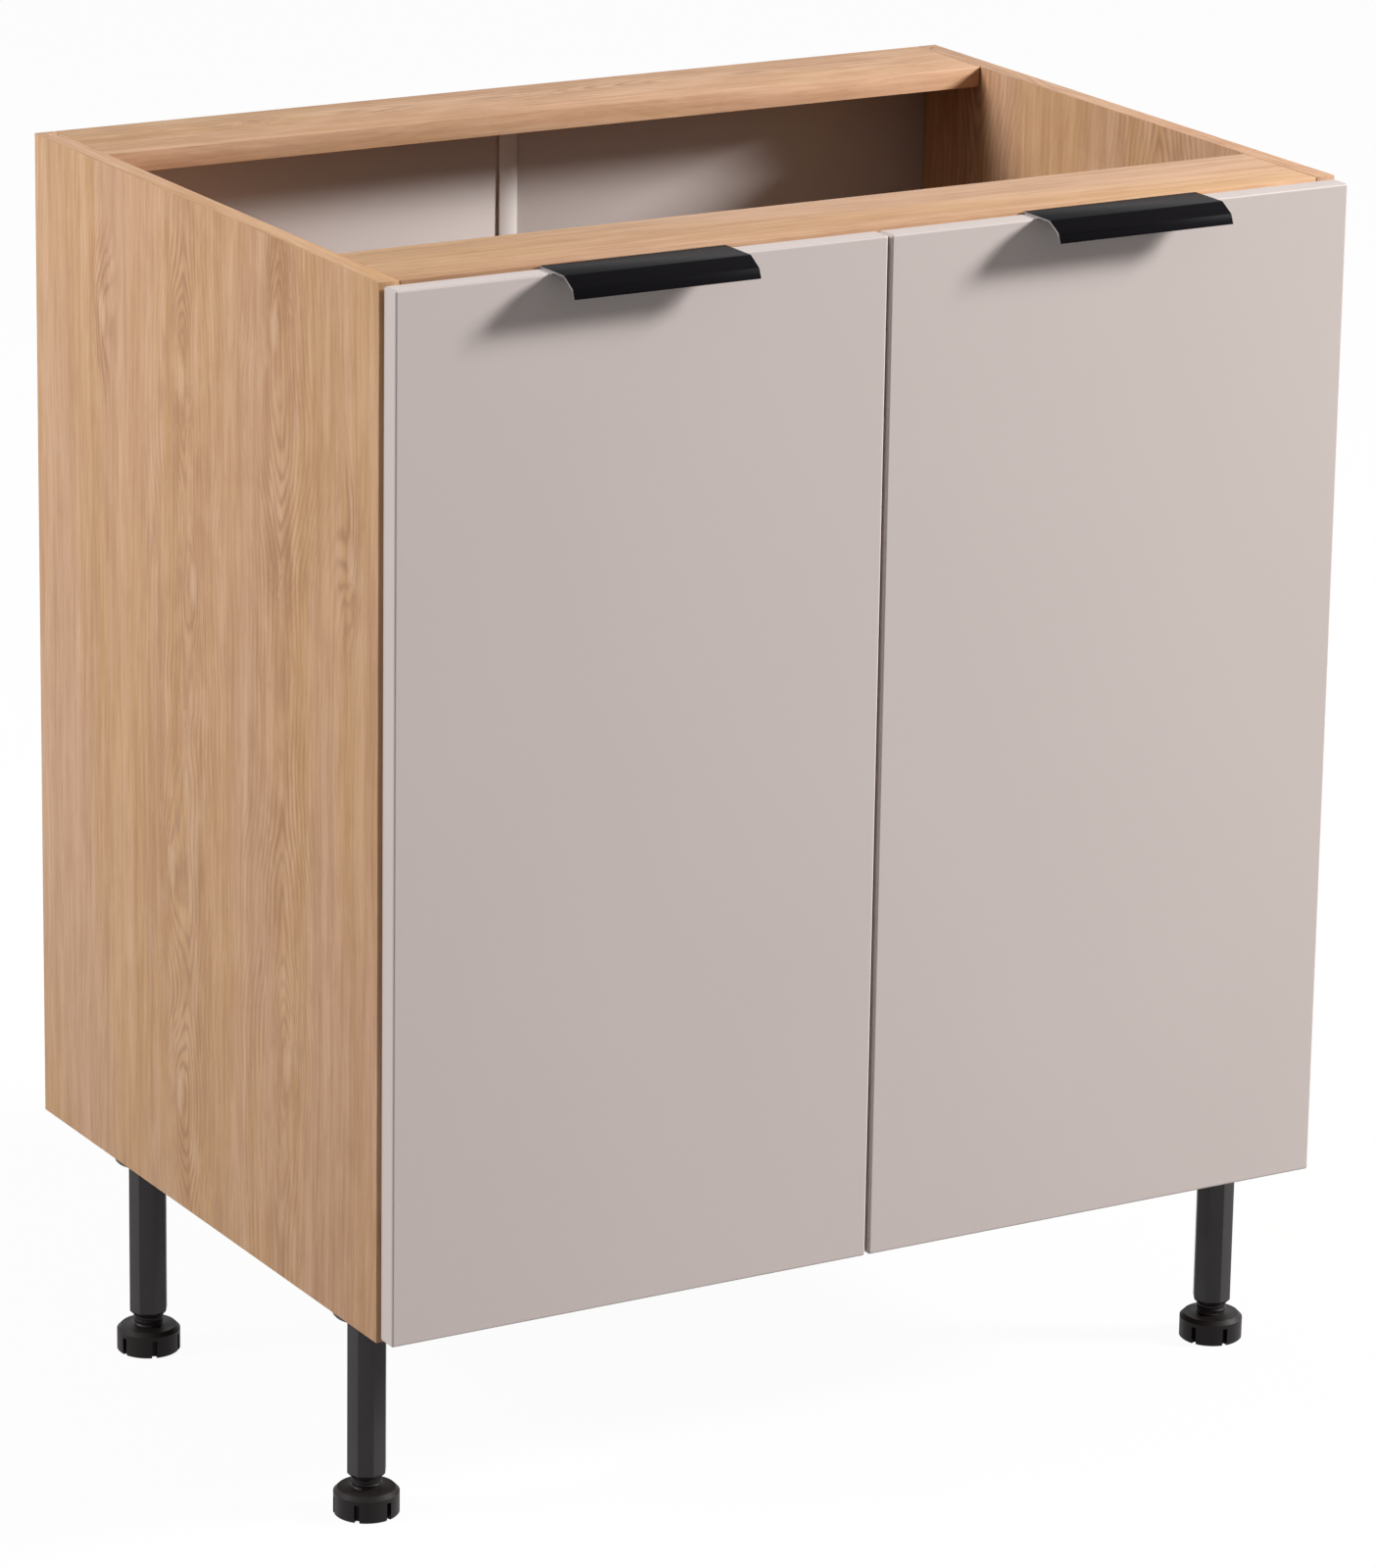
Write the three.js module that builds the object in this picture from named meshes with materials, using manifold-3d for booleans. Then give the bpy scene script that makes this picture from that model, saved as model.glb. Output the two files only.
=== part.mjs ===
// Sink base cabinet: an open-topped melamine carcass on four levelling legs, with two lacquered
// doors on cup hinges and a pull profile on the top edge of each door. Millimetres, +Z up, front
// towards -Y, floor at z = 0. The carcass is drawn with its front edge at y = 0, and the whole group
// is then moved so that the middle of its depth, pulls and all, is at y = 0.
import * as THREE from "three";
import { mergeVertices } from "three/addons/utils/BufferGeometryUtils.js";
import Module from "manifold-3d";

const wasm = await Module();
wasm.setup();

// ---- driving dimensions -------------------------------------------------------------------------

// Carcass boards, 16 mm melamine-faced chipboard.
const carcassWidth = 800;
const carcassDepth = 560;
const carcassHeight = 780;
const board = 16;
const railDepth = 94;

// Two-piece hardboard back, let into grooves and joined by an H strip.
const sheetThickness = 3;
const grooveWidth = 4;
const grooveDepth = 8;
const grooveInset = 8;
const sheetPlay = 1;
const joinerWidth = 16;
const joinerFace = 1.5;
const joinerCrown = 1;
const joinerWeb = 2;
const joinerPlay = 0.25;

// Doors.
const doorThickness = 18;
const doorGap = 2.8;
const sideReveal = 2;
const middleGap = 3;
const topReveal = 2;
const bottomReveal = 3;
const doorRound = 1.8;
const bumperRadius = 4;
const bumperClearance = 0.3;
const bumperInset = 14;

// Pull profile, a bent aluminium section that hangs over the top edge of the door.
const pullLength = 150;
const pullWall = 1.5;
const pullPlate = 15.5;
const pullSlopeRun = 12;
const pullSlopeDrop = 7;
const pullLipRun = 3;
const pullLipDrop = 7;
const pullFlange = 22;
const pullScrewSpacing = 128;
const pullScrewRadius = 1.6;
const pullScrewHead = 3;
const pullScrewLength = 13;
const pullScrewClearance = 0.3;

// Cup hinges: the pivot stands this far in from the door's edge and from its back face.
const hingeFromEnd = 100;
const pivotFromEdge = 8;
const pivotFromBack = 9;
const cupRadius = 17.2;
const cupHoleClearance = 0.3;
const cupEdge = 3;
const cupDepth = 13;
const cupWall = 1;
const rimThickness = 1.3;
const rimOverlap = 2;
const wingLength = 26;
const wingStart = 2;
const wingWidth = 15;
const pinRadius = 1.5;
const pinPlay = 0.2;
const pinHalf = 8.5;
const knuckleWall = 0.5;
const lugGap = 0.4;
const lugWall = 1.9;
const armHalfHeight = 4.5;
const armThickness = 2;
const hookReach = 19;
const hookRadius = 5;
const armPlateGap = 0.3;
const armStrip = 3;
const armReachBack = 60;
const cheekThickness = 1.5;
const cheekDrop = 5;
const armShoulder = 6;
const plateHalfHeight = 5.7;
const plateHalfBase = 9;
const plateBase = 1.6;
const plateBlock = 6.4;
const plateFront = 20;
const plateLength = 36;
const plateWing = 24;
const plateWingWidth = 14;
const plateScrewRadius = 1.9;
const plateScrewHead = 3.6;
const plateScrewHeadHeight = 1.8;
const plateScrewLength = 12;
const plateScrewClearance = 0.3;
const plateScrewSpacing = 32;

// Levelling legs: flange under the carcass, octagonal column, screwed foot.
const legHeight = 160;
const legFromSide = 27;
const legFromFront = 66;
const legFromBack = 128;
const flangeRadius = 25;
const flangeThickness = 5;
const flangeChamfer = 1.5;
const flangeScrewCircle = 19.5;
const flangeScrewRadius = 2.1;
const socketDepth = 3.5;
const columnFlats = 28;
const columnFit = 0.3;
const columnChamfer = 2.5;
const columnTurn = 30;
const footRadius = 24.5;
const footHeight = 20;
const footChamfer = 3;
const footExposedThread = 10;
const notchCount = 6;
const notchWidth = 4;
const notchDepth = 5;
const notchHeight = 14;
const threadRadius = 11.7;
const threadDepth = 1.2;
const threadPitch = 4;
const threadEngaged = 40;
const threadPlay = 0.5;
const footTravelUp = 8;

// ---- worked-out positions -----------------------------------------------------------------------

const innerX = carcassWidth / 2 - board;
const carcassTop = legHeight + carcassHeight;
const railBottom = carcassTop - board;
const floorTop = legHeight + board;
const grooveBackY = carcassDepth - grooveInset;
const grooveFrontY = grooveBackY - grooveWidth;
const sheetFrontY = grooveFrontY + (grooveWidth - sheetThickness) / 2;
const sheetBackY = sheetFrontY + sheetThickness;
const doorBackY = -doorGap;
const doorFrontY = doorBackY - doorThickness;
const doorBottomZ = legHeight + bottomReveal;
const doorTopZ = carcassTop - topReveal;
const doorOuterX = carcassWidth / 2 - sideReveal;
const doorInnerX = middleGap / 2;
const doorCentreX = (doorOuterX + doorInnerX) / 2;
const pullFrontY = doorFrontY - pullPlate - pullSlopeRun - pullLipRun;
const centreY = (carcassDepth + pullFrontY) / 2;
const cupCentreX = doorOuterX - cupEdge - cupRadius - cupHoleClearance;
const pivotX = doorOuterX - pivotFromEdge;
const pivotY = doorBackY - pivotFromBack;
const hingeHeights = { bottom: doorBottomZ + hingeFromEnd, top: doorTopZ - hingeFromEnd };
const plateMidY = plateFront + plateLength / 2;
// Every cutter runs this far past the face that it opens.
const overcut = 1;

// ---- shape helpers ------------------------------------------------------------------------------

// A closed geometry as a manifold solid, and back.
function solid(geometry) {
  const bare = new THREE.BufferGeometry();
  bare.setAttribute("position", geometry.getAttribute("position"));
  if (geometry.index) bare.setIndex(geometry.index);
  const merged = mergeVertices(bare, 1e-4);
  const vertProperties = new Float32Array(merged.getAttribute("position").array);
  const triVerts = new Uint32Array(merged.index.array);
  return new wasm.Manifold(new wasm.Mesh({ numProp: 3, vertProperties, triVerts }));
}

function geometryOf(shape) {
  const mesh = shape.getMesh();
  const geometry = new THREE.BufferGeometry();
  geometry.setAttribute("position", new THREE.BufferAttribute(mesh.vertProperties, 3));
  geometry.setIndex(new THREE.BufferAttribute(mesh.triVerts, 1));
  geometry.computeVertexNormals();
  return geometry;
}

// A block between two corners, whichever way round each pair is given.
function block(x0, x1, y0, y1, z0, z1) {
  const geometry = new THREE.BoxGeometry(Math.abs(x1 - x0), Math.abs(y1 - y0), Math.abs(z1 - z0));
  return geometry.translate((x0 + x1) / 2, (y0 + y1) / 2, (z0 + z1) / 2);
}

// A plan outline raised from z0 to z1.
function raised(shape, z0, z1, curveSegments = 8) {
  const options = { depth: z1 - z0, bevelEnabled: false, curveSegments };
  return new THREE.ExtrudeGeometry(shape, options).translate(0, 0, z0);
}

// An outline drawn in x and z, run along y from y0 to y1.
function runAlongY(shape, y0, y1, curveSegments = 8) {
  return raised(shape, -y1, -y0, curveSegments).rotateX(Math.PI / 2);
}

// A profile drawn in y and z, run along x from -half to half.
function runAlongX(shape, half, curveSegments = 8) {
  return raised(shape, -half, half, curveSegments).rotateZ(Math.PI / 2).rotateY(Math.PI / 2);
}

// A profile of [radius, z] points turned about the z axis, from its lowest point on the axis to its highest.
function turned(profile, segments) {
  const points = profile.map(([radius, z]) => new THREE.Vector2(radius, z));
  return new THREE.LatheGeometry(points, segments).rotateX(Math.PI / 2);
}

function uprightCylinder(radius, z0, z1, segments = 24) {
  return turned([[0, z0], [radius, z0], [radius, z1], [0, z1]], segments);
}

// A cylinder along y, centred on x and z.
function crossCylinder(x, z, radius, y0, y1, segments = 32) {
  const length = Math.abs(y1 - y0);
  return new THREE.CylinderGeometry(radius, radius, length, segments).translate(x, (y0 + y1) / 2, z);
}

function polygon(points) {
  return new THREE.Shape(points.map(([x, y]) => new THREE.Vector2(x, y)));
}

// ---- materials ----------------------------------------------------------------------------------

const oak = new THREE.MeshStandardMaterial({ color: 0xc9a27c, roughness: 0.55, metalness: 0 });
const hardboard = new THREE.MeshStandardMaterial({ color: 0xd9d3ce, roughness: 0.5, metalness: 0 });
const stripPlastic = new THREE.MeshStandardMaterial({ color: 0xe6e2de, roughness: 0.4, metalness: 0 });
const lacquer = new THREE.MeshStandardMaterial({ color: 0xc3b8b2, roughness: 0.45, metalness: 0 });
const blackAluminium = new THREE.MeshStandardMaterial({ color: 0x1c1b1e, roughness: 0.35, metalness: 0.6 });
const blackPlastic = new THREE.MeshStandardMaterial({ color: 0x2f2c2e, roughness: 0.5, metalness: 0 });
const nickel = new THREE.MeshStandardMaterial({ color: 0xb9b9ba, roughness: 0.25, metalness: 1 });
const clearRubber = new THREE.MeshStandardMaterial({ color: 0xdcdcd8, roughness: 0.3, metalness: 0 });

const cabinet = new THREE.Group();
cabinet.position.set(0, -centreY, 0);

function addPiece(name, geometry, material, parent = cabinet) {
  const mesh = new THREE.Mesh(geometry, material);
  mesh.name = name;
  parent.add(mesh);
  return mesh;
}

// Everything that comes in a left and a right copy is drawn for one side, where side is -1 on the left.
const sides = { left: -1, right: 1 };

// ---- carcass ------------------------------------------------------------------------------------

// The side runs the full height. Its inner face has the groove that holds the back, and the holes
// for the hinge plates' screws.
function sidePanel(side) {
  const outline = polygon([
    [side * (carcassWidth / 2), 0],
    [side * (carcassWidth / 2), carcassDepth],
    [side * innerX, carcassDepth],
    [side * innerX, grooveBackY],
    [side * (innerX + grooveDepth), grooveBackY],
    [side * (innerX + grooveDepth), grooveFrontY],
    [side * innerX, grooveFrontY],
    [side * innerX, 0],
  ]);
  let shape = solid(raised(outline, legHeight, carcassTop));
  for (const z of Object.values(hingeHeights)) {
    for (const hole of plateScrewHoles(side, z)) {
      shape = shape.subtract(solid(hole));
    }
  }
  return geometryOf(shape);
}

// The rear rail lies flat between the sides, flush with the rear edge, grooved underneath for the back.
function rearRail() {
  const frontY = carcassDepth - railDepth;
  const profile = polygon([
    [frontY, railBottom],
    [grooveFrontY, railBottom],
    [grooveFrontY, railBottom + grooveDepth],
    [grooveBackY, railBottom + grooveDepth],
    [grooveBackY, railBottom],
    [carcassDepth, railBottom],
    [carcassDepth, carcassTop],
    [frontY, carcassTop],
  ]);
  return runAlongX(profile, innerX);
}

// Each half of the back runs from its side's groove to the joiner's web, and passes behind the bottom panel.
function backSheet(side) {
  const outerX = innerX + grooveDepth - sheetPlay;
  const seamX = joinerWeb / 2 + joinerPlay;
  const topZ = railBottom + grooveDepth - sheetPlay;
  return block(side * outerX, side * seamX, sheetFrontY, sheetBackY, legHeight, topZ);
}

// H section with a crowned face to the front, cut to stand between the bottom panel and the rear rail.
function joiner() {
  const half = joinerWidth / 2;
  const slotFrontY = sheetFrontY - joinerPlay;
  const slotBackY = sheetBackY + joinerPlay;
  const faceY = slotFrontY - joinerFace;
  const crownRadius = (half * half + joinerCrown * joinerCrown) / (2 * joinerCrown);
  const crownAngle = Math.asin(half / crownRadius);
  const outline = polygon([
    [joinerWeb / 2, slotFrontY],
    [joinerWeb / 2, slotBackY],
    [half, slotBackY],
    [half, slotBackY + joinerFace],
    [-half, slotBackY + joinerFace],
    [-half, slotBackY],
    [-joinerWeb / 2, slotBackY],
    [-joinerWeb / 2, slotFrontY],
    [-half, slotFrontY],
    [-half, faceY],
  ]);
  const crownCentreY = faceY - joinerCrown + crownRadius;
  const down = -Math.PI / 2;
  outline.absarc(0, crownCentreY, crownRadius, down - crownAngle, down + crownAngle, false);
  outline.lineTo(half, slotFrontY);
  return raised(outline, floorTop, railBottom);
}

for (const [name, side] of Object.entries(sides)) {
  addPiece(`side_${name}`, sidePanel(side), oak);
  addPiece(`back_sheet_${name}`, backSheet(side), hardboard);
}
addPiece("bottom_panel", block(-innerX, innerX, 0, grooveFrontY, legHeight, floorTop), oak);
addPiece("front_rail", block(-innerX, innerX, 0, railDepth, railBottom, carcassTop), oak);
addPiece("rear_rail", rearRail(), oak);
addPiece("back_joiner", joiner(), stripPlastic);

// ---- legs ---------------------------------------------------------------------------------------

// A round flange screwed up under the bottom panel, with an eight-sided socket for the column.
function legFlange() {
  const bottomZ = legHeight - flangeThickness;
  const body = solid(
    turned(
      [
        [0, bottomZ],
        [flangeRadius - flangeChamfer, bottomZ],
        [flangeRadius, bottomZ + flangeChamfer],
        [flangeRadius, legHeight],
        [0, legHeight],
      ],
      32,
    ),
  );
  const socketRadius = (columnFlats / 2 + columnFit) / Math.cos(Math.PI / 8);
  const socket = uprightCylinder(socketRadius, bottomZ - overcut, bottomZ + socketDepth, 8);
  let shape = body.subtract(solid(socket.rotateZ(columnRotation)));
  for (let i = 0; i < 4; i += 1) {
    const angle = columnRotation + (i * Math.PI) / 2;
    const hole = uprightCylinder(flangeScrewRadius, bottomZ - overcut, legHeight + overcut, 12);
    hole.translate(flangeScrewCircle * Math.cos(angle), flangeScrewCircle * Math.sin(angle), 0);
    shape = shape.subtract(solid(hole));
  }
  return geometryOf(shape);
}

// Octagonal tube, blind at the top, bored from below for the foot's screw.
function legColumn() {
  const corner = 1 / Math.cos(Math.PI / 8);
  const radius = (columnFlats / 2) * corner;
  const bottomZ = footHeight + footExposedThread;
  const topZ = legHeight - flangeThickness + socketDepth;
  const outer = turned(
    [
      [0, bottomZ],
      [radius - columnChamfer, bottomZ],
      [radius, bottomZ + columnChamfer],
      [radius, topZ],
      [0, topZ],
    ],
    8,
  ).rotateZ(columnRotation);
  const boreTopZ = bottomZ + threadEngaged + footTravelUp + footHeight / 2;
  const bore = uprightCylinder(threadRadius + threadPlay, bottomZ - overcut, boreTopZ, 24);
  return geometryOf(solid(outer).subtract(solid(bore)));
}

// Disc foot with finger notches round the rim, on a coarse ribbed screw.
function legFoot() {
  const profile = [
    [0, 0],
    [footRadius - 0.5, 0],
    [footRadius, 0.5],
    [footRadius, footHeight - footChamfer],
    [footRadius - footChamfer, footHeight],
    [threadRadius - threadDepth, footHeight],
  ];
  const stemTopZ = footHeight + footExposedThread + threadEngaged;
  // Ribs stand for the thread where it can show. The stretch inside the column is left smooth.
  const ribs = Math.ceil(footExposedThread / threadPitch);
  for (let i = 0; i < ribs; i += 1) {
    const z = footHeight + (i + 0.25) * threadPitch;
    profile.push([threadRadius - threadDepth, z]);
    profile.push([threadRadius, z + threadPitch * 0.3]);
    profile.push([threadRadius, z + threadPitch * 0.5]);
    profile.push([threadRadius - threadDepth, z + threadPitch * 0.75]);
  }
  profile.push([threadRadius - threadDepth, stemTopZ]);
  profile.push([0, stemTopZ]);
  let shape = solid(turned(profile, 24));
  for (let i = 0; i < notchCount; i += 1) {
    const notch = block(
      footRadius - notchDepth,
      footRadius + overcut,
      -notchWidth / 2,
      notchWidth / 2,
      -overcut,
      notchHeight,
    );
    shape = shape.subtract(solid(notch.rotateZ((i * 2 * Math.PI) / notchCount)));
  }
  return geometryOf(shape);
}

const columnRotation = THREE.MathUtils.degToRad(-90 - columnTurn + 22.5);
const legX = carcassWidth / 2 - legFromSide;
const legRearY = carcassDepth - legFromBack;
// Each leg's place, and the angle to which its foot happens to be screwed.
const legs = {
  front_left: { x: -legX, y: legFromFront, footTurn: -134.5 },
  front_right: { x: legX, y: legFromFront, footTurn: -96.5 },
  rear_left: { x: -legX, y: legRearY, footTurn: -105 },
  rear_right: { x: legX, y: legRearY, footTurn: -110 },
};

for (const [name, { x, y, footTurn }] of Object.entries(legs)) {
  const leg = new THREE.Group();
  leg.position.set(x, y, 0);
  cabinet.add(leg);
  addPiece(`leg_flange_${name}`, legFlange(), blackPlastic, leg);
  addPiece(`leg_column_${name}`, legColumn(), blackPlastic, leg);
  const foot = addPiece(`leg_foot_${name}`, legFoot(), blackPlastic, leg);
  foot.rotation.z = THREE.MathUtils.degToRad(footTurn);
}

// ---- doors --------------------------------------------------------------------------------------

// A lacquered slab with all its edges eased, bored on the back for the two hinge cups.
function doorSlab(side) {
  const halfWidth = (doorOuterX - doorInnerX) / 2 - doorRound;
  const halfHeight = (doorTopZ - doorBottomZ) / 2 - doorRound;
  const face = polygon([
    [-halfWidth, -halfHeight],
    [halfWidth, -halfHeight],
    [halfWidth, halfHeight],
    [-halfWidth, halfHeight],
  ]);
  const slab = new THREE.ExtrudeGeometry(face, {
    depth: doorThickness - 2 * doorRound,
    bevelThickness: doorRound,
    bevelSize: doorRound,
    bevelSegments: 3,
  });
  slab.translate(0, 0, -doorThickness / 2 + doorRound).rotateX(Math.PI / 2);
  slab.translate(side * doorCentreX, (doorFrontY + doorBackY) / 2, (doorTopZ + doorBottomZ) / 2);
  let shape = solid(slab);
  const holeRadius = cupRadius + cupHoleClearance;
  for (const z of Object.values(hingeHeights)) {
    const floorY = doorBackY - cupDepth - cupHoleClearance;
    const hole = crossCylinder(side * cupCentreX, z, holeRadius, floorY, doorBackY + overcut);
    shape = shape.subtract(solid(hole));
  }
  for (const x of pullScrewPlaces(side)) {
    shape = shape.subtract(solid(pullScrewForm(pullScrewClearance).translate(x, 0, 0)));
  }
  return geometryOf(shape);
}

// Section of the pull: down behind the door, over its top edge, forward, then down a slope to a lip.
function pullSection() {
  const backY = doorBackY + pullWall;
  const topZ = doorTopZ + pullWall;
  const bendY = doorFrontY - pullPlate;
  const slopeEndY = bendY - pullSlopeRun;
  const slopeEndZ = topZ - pullSlopeDrop;
  const slope = Math.atan2(pullSlopeDrop, pullSlopeRun);
  const lip = Math.atan2(pullLipDrop, pullLipRun);
  // The inner line is the outer one set in by the wall, mitred at each bend.
  const innerBend = pullWall * Math.tan(slope / 2);
  const lipMitre = pullWall * Math.tan((lip - slope) / 2);
  const innerSlopeEndY = slopeEndY + pullWall * Math.sin(slope) + lipMitre * Math.cos(slope);
  const innerSlopeEndZ = slopeEndZ - pullWall * Math.cos(slope) + lipMitre * Math.sin(slope);
  return polygon([
    [backY, doorTopZ - pullFlange],
    [backY, topZ],
    [bendY, topZ],
    [slopeEndY, slopeEndZ],
    [slopeEndY - pullLipRun, slopeEndZ - pullLipDrop],
    [slopeEndY - pullLipRun + pullWall * Math.sin(lip), slopeEndZ - pullLipDrop - pullWall * Math.cos(lip)],
    [innerSlopeEndY, innerSlopeEndZ],
    [bendY + innerBend, topZ - pullWall],
    [doorBackY, doorTopZ],
    [doorBackY, doorTopZ - pullFlange],
  ]);
}

const pullScrewZ = doorTopZ - pullFlange / 2;

function pullScrewPlaces(side) {
  return [-1, 1].map((end) => side * doorCentreX + (end * pullScrewSpacing) / 2);
}

function pull(side) {
  let shape = solid(runAlongX(pullSection(), pullLength / 2).translate(side * doorCentreX, 0, 0));
  for (const x of pullScrewPlaces(side)) {
    shape = shape.subtract(solid(pullScrewForm(pullScrewClearance).translate(x, 0, 0)));
  }
  return geometryOf(shape);
}

// Countersunk screw, flush with the flange behind the door. Grown by a clearance, it also cuts its own hole.
function pullScrewForm(grow) {
  const cone = pullScrewHead - pullScrewRadius;
  const profile = [
    [0, -pullScrewLength - grow],
    [grow + pullScrewRadius * 0.5, -pullScrewLength - grow],
    [grow + pullScrewRadius, -pullScrewLength + pullScrewRadius],
    [grow + pullScrewRadius, -cone],
    [grow + pullScrewHead, 0],
  ];
  if (grow > 0) profile.push([grow + pullScrewHead, grow]);
  profile.push([0, grow]);
  return turned(profile, 12).rotateX(-Math.PI / 2).translate(0, doorBackY + pullWall, pullScrewZ);
}

for (const [name, side] of Object.entries(sides)) {
  addPiece(`door_${name}`, doorSlab(side), lacquer);
  addPiece(`pull_${name}`, pull(side), blackAluminium);
  pullScrewPlaces(side).forEach((x, i) => {
    addPiece(`pull_screw_${name}_${i + 1}`, pullScrewForm(0), nickel).position.x = x;
  });
  // Soft stops near the free edge, one meeting the front rail and one the bottom panel.
  const stops = {
    bottom: legHeight + (board + bottomReveal) / 2,
    top: carcassTop - (board + topReveal) / 2,
  };
  for (const [place, z] of Object.entries(stops)) {
    const x = side * (doorInnerX + bumperInset);
    const stop = crossCylinder(x, z, bumperRadius, doorBackY, -bumperClearance, 20);
    addPiece(`bumper_${name}_${place}`, stop, clearRubber);
  }
}

// ---- hinges -------------------------------------------------------------------------------------

// Everything here is drawn round the pivot: across is measured from the pivot towards the cabinet's
// middle, and ahead from the pivot towards the room.
const toPlan = (side, across, ahead) => [side * (pivotX - across), pivotY - ahead];
const cupAcross = pivotX - cupCentreX;
const sideFaceAcross = pivotX - innerX;

// Pressed cup with a screwed rim on the door's back, and two lugs inside that hold the pin.
function hingeCup(side, z) {
  const floorY = doorBackY - cupDepth;
  const centreX = side * cupCentreX;
  const rimY = doorBackY + rimThickness;
  const rim = new THREE.Shape();
  rim.absarc(0, 0, cupRadius + rimOverlap, 0, 2 * Math.PI, false);
  const wingOuter = wingStart + wingWidth;
  const wings = polygon([
    [wingStart, -wingLength],
    [wingOuter, -wingLength],
    [wingOuter, wingLength],
    [wingStart, wingLength],
  ]);
  let shape = solid(runAlongY(rim, doorBackY, rimY, 24).translate(centreX, 0, z));
  const wingSolid = runAlongY(wings, doorBackY, rimY).rotateY(side > 0 ? Math.PI : 0);
  shape = shape.add(solid(wingSolid.translate(centreX, 0, z)));
  // The rim stops short of the door's edge, so that it clears the carcass as the door turns.
  const trimX = side * (doorOuterX - cupEdge);
  const trim = block(trimX, side * carcassWidth, -carcassDepth, carcassDepth, 0, carcassTop);
  shape = shape.subtract(solid(trim));
  const outer = solid(crossCylinder(centreX, z, cupRadius, floorY, rimY));
  const hollow = crossCylinder(centreX, z, cupRadius - cupWall, floorY + cupWall, rimY + overcut);
  shape = shape.add(outer).subtract(solid(hollow));
  const [lugX, lugY] = toPlan(side, 0, 0);
  const lugReach = pinRadius + lugWall;
  for (const end of [-1, 1]) {
    const lug = block(
      lugX - lugReach,
      lugX + lugReach,
      floorY,
      lugY + lugReach,
      z + end * (armHalfHeight + lugGap),
      z + end * (cupRadius - cupWall / 2),
    );
    shape = shape.add(solid(lug).intersect(outer));
  }
  const bore = uprightCylinder(pinRadius + pinPlay, z - pinHalf - pinPlay, z + pinHalf + pinPlay, 16);
  return geometryOf(shape.subtract(solid(bore.translate(lugX, lugY, 0))));
}

// Gooseneck arm: an eye round the pin, a hook that goes round the door's edge, and a capped strip on
// the plate.
function hingeArm(side, z) {
  const half = armThickness / 2;
  const bendCentre = hookReach - hookRadius;
  const stripIn = sideFaceAcross + plateBase + plateBlock + armPlateGap;
  const stripOut = stripIn + armStrip;
  const bodyFront = -pivotFromBack - doorGap - armShoulder;
  const shoulder = armShoulder / 2;
  const armRear = -pivotFromBack - doorGap - armReachBack;
  const at = (across, ahead) => new THREE.Vector2(...toPlan(side, across, ahead));
  const outline = [at(0, half), at(bendCentre, half)];
  const bend = (radius, turnsBack) => {
    const steps = 6;
    for (let i = 0; i <= steps; i += 1) {
      const angle = (Math.PI / 2) * (turnsBack ? i / steps : 1 - i / steps);
      const across = bendCentre + radius * Math.cos(angle);
      outline.push(at(across, -hookRadius + radius * Math.sin(angle)));
    }
  };
  bend(hookRadius + half, false);
  outline.push(at(hookReach + half, bodyFront - shoulder));
  outline.push(at(stripOut, bodyFront - armShoulder - shoulder));
  outline.push(at(stripOut, armRear));
  outline.push(at(stripIn, armRear));
  outline.push(at(stripIn, bodyFront - armShoulder));
  outline.push(at(hookReach - half, bodyFront));
  bend(hookRadius - half, true);
  outline.push(at(0, -half));
  let shape = solid(raised(new THREE.Shape(outline), z - armHalfHeight, z + armHalfHeight));
  const [eyeX, eyeY] = toPlan(side, 0, 0);
  const eyeRadius = pinRadius + pinPlay + knuckleWall;
  const eye = uprightCylinder(eyeRadius, z - armHalfHeight, z + armHalfHeight, 20).translate(eyeX, eyeY, 0);
  shape = shape.add(solid(eye));
  const cap = plateHalfHeight + armPlateGap + cheekThickness;
  const [capX0, capY0] = toPlan(side, stripIn, bodyFront - armShoulder - shoulder);
  const [capX1, capY1] = toPlan(side, stripOut, armRear);
  const [cheekX] = toPlan(side, stripIn - cheekDrop, 0);
  shape = shape.add(solid(block(capX0, capX1, capY0, capY1, z - cap, z + cap)));
  for (const end of [-1, 1]) {
    const z0 = z + end * cap;
    const z1 = z + end * (cap - cheekThickness);
    shape = shape.add(solid(block(cheekX, capX1, capY0, capY1, z0, z1)));
  }
  const boreHalf = armHalfHeight + overcut;
  const bore = uprightCylinder(pinRadius + pinPlay, z - boreHalf, z + boreHalf, 16);
  return geometryOf(shape.subtract(solid(bore.translate(eyeX, eyeY, 0))));
}

function plateScrewPlaces(z) {
  return [-1, 1].map((end) => z + (end * plateScrewSpacing) / 2);
}

// The holes through one plate and on into the side, for its two screws.
function plateScrewHoles(side, z) {
  const radius = plateScrewRadius + plateScrewClearance;
  const start = innerX - plateBase - overcut;
  const end = innerX - plateBase + plateScrewLength + plateScrewClearance;
  return plateScrewPlaces(z).map((screwZ) => {
    const hole = new THREE.CylinderGeometry(radius, radius, end - start, 12).rotateZ(Math.PI / 2);
    return hole.translate((side * (start + end)) / 2, plateMidY, screwZ);
  });
}

// Pan-headed screw, drawn at the origin with its head towards the cabinet's middle.
function plateScrew(side) {
  const profile = [
    [0, -plateScrewLength],
    [plateScrewRadius * 0.5, -plateScrewLength],
    [plateScrewRadius, -plateScrewLength + plateScrewRadius],
    [plateScrewRadius, 0],
    [plateScrewHead, 0],
    [plateScrewHead, plateScrewHeadHeight * 0.5],
    [plateScrewHead * 0.75, plateScrewHeadHeight],
    [0, plateScrewHeadHeight],
  ];
  return turned(profile, 12).rotateY((-side * Math.PI) / 2);
}

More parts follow.
